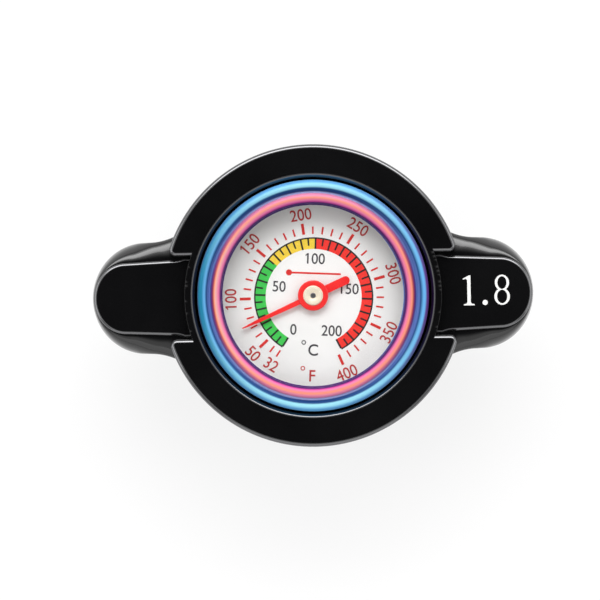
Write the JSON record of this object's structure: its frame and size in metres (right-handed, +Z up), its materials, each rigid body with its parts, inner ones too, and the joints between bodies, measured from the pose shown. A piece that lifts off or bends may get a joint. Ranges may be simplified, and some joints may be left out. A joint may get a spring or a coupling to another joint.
{
  "type": "radiator cap thermometer",
  "caption": "Wing-grip pressure cap for a bayonet radiator neck, with a bimetal dial thermometer under a glass lens in its top and a probe through its spring-loaded valves.",
  "frame": {"origin": "centre of the filler neck's rim, on the plane where it meets the neck gasket", "axes": "+Z up out of the neck along the cap's axis, +X along the right wing, +Y towards the top of the dial"},
  "size_m": [0.0794, 0.0544, 0.0305],
  "materials": {
    "black_lacquer": "gloss",
    "plated_steel": "satin",
    "spring_steel": "satin",
    "brass": "satin",
    "black_rubber": "matte",
    "white_dial": "satin",
    "clear_lens": "polished",
    "heat_blue_bezel": "polished",
    "bimetal": "satin",
    "red_pointer": "satin",
    "cream_hub": "satin"
  },
  "bodies": {
    "cap_body": {"cap_cover": "black_lacquer", "bayonet_crown": "plated_steel", "crown_screws": "plated_steel", "thrust_washer": "brass", "case_seal": "black_rubber", "gauge_case": "plated_steel", "dial_ring": "white_dial", "dial_plate": "white_dial", "lens": "clear_lens", "lens_gasket": "black_rubber", "bezel": "heat_blue_bezel", "probe_tube": "brass", "shaft_bush": "brass", "coil_anchor": "brass", "bimetal_coil": "bimetal", "retaining_clip": "spring_steel"},
    "needle": {"pointer": "red_pointer", "pointer_hub": "cream_hub", "pointer_shaft": "spring_steel", "coil_collet": "brass"},
    "seal_stack": {"spring_disc": "plated_steel", "neck_gasket": "black_rubber", "spring_seat": "plated_steel", "stem_o_ring": "black_rubber", "pressure_spring": "spring_steel"},
    "main_valve": {"valve_plate": "plated_steel", "valve_seal": "black_rubber", "seal_retainer": "plated_steel", "vacuum_spring_seat": "brass", "vacuum_spring": "spring_steel"},
    "return_valve": {"vacuum_disc": "brass", "vacuum_seal": "black_rubber"}
  },
  "joints": [
    {"name": "pointer_sweep", "type": "hinge", "parent": "cap_body", "child": "needle", "pos_m": [0, 0, 0.0118], "axis": [0, 0, -1], "range_deg": [-33, 267]},
    {"name": "seal_swivel", "type": "hinge", "parent": "cap_body", "child": "seal_stack", "pos_m": [0, 0, 0.0032], "axis": [0, 0, 1], "continuous": true},
    {"name": "pressure_lift", "type": "slide", "parent": "seal_stack", "child": "main_valve", "axis": [0, 0, 1], "range_m": [0, 0.003], "stiffness_N_per_m": 4500, "springref_m": -0.0003, "deforming": ["pressure_spring"]},
    {"name": "vacuum_drop", "type": "slide", "parent": "main_valve", "child": "return_valve", "axis": [0, 0, -1], "range_m": [0, 0.0009], "stiffness_N_per_m": 150, "springref_m": -0.0004, "deforming": ["vacuum_spring"]}
  ]
}
